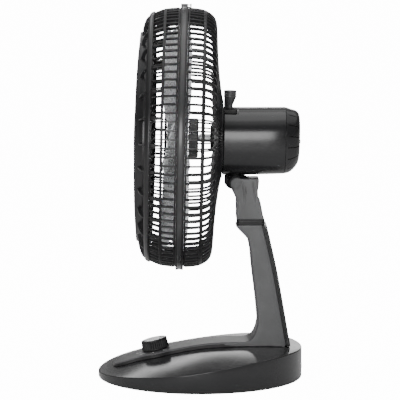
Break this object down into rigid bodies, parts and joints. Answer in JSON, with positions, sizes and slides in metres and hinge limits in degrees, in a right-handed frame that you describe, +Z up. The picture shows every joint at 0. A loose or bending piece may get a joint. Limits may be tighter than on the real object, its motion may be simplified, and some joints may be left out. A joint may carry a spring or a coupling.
{
  "type": "table fan",
  "caption": "Table air circulator fan: round ribbed guard with a grey rim band, tapered column on a wedge-shaped round base, speed dial, tilting and swinging head.",
  "frame": {"origin": "centre of the round base on the surface it stands on", "axes": "+Z up, the fan blows towards -Y, +X is the side that the picture shows"},
  "size_m": [0.43, 0.3364, 0.6132],
  "materials": {
    "shell": "satin black moulded plastic",
    "column": "satin charcoal moulded plastic",
    "guard": "satin black moulded plastic ribs",
    "band": "satin dark grey moulded plastic",
    "blade": "translucent smoke-grey moulded plastic",
    "dark": "matt black moulded plastic",
    "cap": "bright plated disc",
    "rubber": "soft black rubber",
    "steel": "ground steel",
    "zinc": "zinc-plated steel",
    "iron": "laminated or pressed iron, oiled",
    "cast": "die-cast aluminium",
    "copper": "lacquered copper wire",
    "bronze": "sintered bronze",
    "gear": "natural acetal",
    "cream": "pale insulating plastic"
  },
  "bodies": {
    "base": {"base_shell": "shell", "base_bottom_plate": "shell", "base_screw_1": "zinc", "base_screw_2": "zinc", "base_screw_3": "zinc", "base_screw_4": "zinc", "foot_front_left": "rubber", "foot_front_right": "rubber", "foot_rear_left": "rubber", "foot_rear_right": "rubber", "ballast_plate": "iron", "cord_gland": "rubber", "speed_switch": "cream", "stand_arm": "column", "stand_rear_cover": "shell", "stand_screw_upper": "zinc", "stand_screw_lower": "zinc", "neck_collar": "dark", "neck_fork": "column", "tilt_bolt": "zinc", "tilt_nut": "zinc"},
    "tilt_bracket": {"tilt_knuckle": "dark", "swivel_shaft": "steel", "swivel_ring": "steel", "link_anchor": "zinc"},
    "fan_rotor": {"motor_shaft": "steel", "rotor_core": "iron", "fan_blades": "blade", "blade_nut": "shell", "hub_back_plate": "dark"},
    "worm_wheel": {"worm_wheel": "bronze"},
    "clutch_spindle": {"clutch_spindle": "steel"},
    "oscillation_button": {"oscillation_knob": "shell"},
    "crank_gear": {"crank_gear": "gear"},
    "crank_link": {"crank_link": "zinc"},
    "speed_dial": {"speed_knob": "dark", "speed_knob_cap": "cap", "switch_shaft": "cream"},
    "head": {"motor_housing": "shell", "motor_rear_cover": "shell", "cover_screw_left": "zinc", "cover_screw_right": "zinc", "gearbox_front_cover": "cast", "gearbox_case": "cast", "motor_front_bracket": "cast", "motor_rear_bracket": "cast", "stator_core": "iron", "winding_front": "copper", "winding_rear": "copper", "front_bush": "bronze", "rear_bush": "bronze", "run_capacitor": "cream", "rear_guard": "guard", "front_guard": "guard", "front_badge": "shell", "guard_ring": "band", "guard_clip_top": "guard", "guard_clip_bottom": "guard", "guard_nut": "guard"}
  },
  "joints": [
    {"name": "head_tilt", "type": "hinge", "parent": "base", "child": "tilt_bracket", "pos_m": [0, 0.058, 0.3213], "axis": [-1, 0, 0], "range_deg": [-12, 6.5]},
    {"name": "oscillation", "type": "hinge", "parent": "tilt_bracket", "child": "head", "pos_m": [0, 0.058, 0.3213], "axis": [0, 0.0227, 0.9997], "range_deg": [-40, 40]},
    {"name": "blade_spin", "type": "hinge", "parent": "head", "child": "fan_rotor", "pos_m": [0, -0.02935, 0.395], "axis": [0, 0.9997, -0.0227], "continuous": true},
    {"name": "worm_wheel_spin", "type": "hinge", "parent": "head", "child": "worm_wheel", "pos_m": [0.011, 0.04743, 0.39326], "axis": [0, 0.0227, 0.9997], "continuous": true},
    {"name": "clutch_spindle_turn", "type": "hinge", "parent": "head", "child": "clutch_spindle", "pos_m": [0.011, 0.04743, 0.39326], "axis": [0, 0.0227, 0.9997], "range_deg": [-360, 360]},
    {"name": "oscillation_knob_press", "type": "slide", "parent": "clutch_spindle", "child": "oscillation_button", "axis": [0, -0.0227, -0.9997], "range_m": [0, 0.007]},
    {"name": "crank_turn", "type": "hinge", "parent": "head", "child": "crank_gear", "pos_m": [0.0234, 0.05773, 0.39303], "axis": [0, 0.0227, 0.9997], "range_deg": [-90, 90]},
    {"name": "link_swing", "type": "hinge", "parent": "crank_gear", "child": "crank_link", "pos_m": [0.0276, 0.05045, 0.39319], "axis": [0, 0.0227, 0.9997], "range_deg": [-90, 90]},
    {"name": "speed_dial_turn", "type": "hinge", "parent": "base", "child": "speed_dial", "pos_m": [0, -0.073, 0.04446], "axis": [0, -0.2079, 0.9781], "range_deg": [0, 120]}
  ],
  "couplings": [
    {"joint": "worm_wheel_spin", "follows": "blade_spin", "ratio": -0.041667},
    {"joint": "clutch_spindle_turn", "follows": "oscillation", "ratio": 9},
    {"joint": "crank_turn", "follows": "oscillation", "ratio": -2.25},
    {"joint": "link_swing", "follows": "oscillation", "ratio": 2.25}
  ]
}
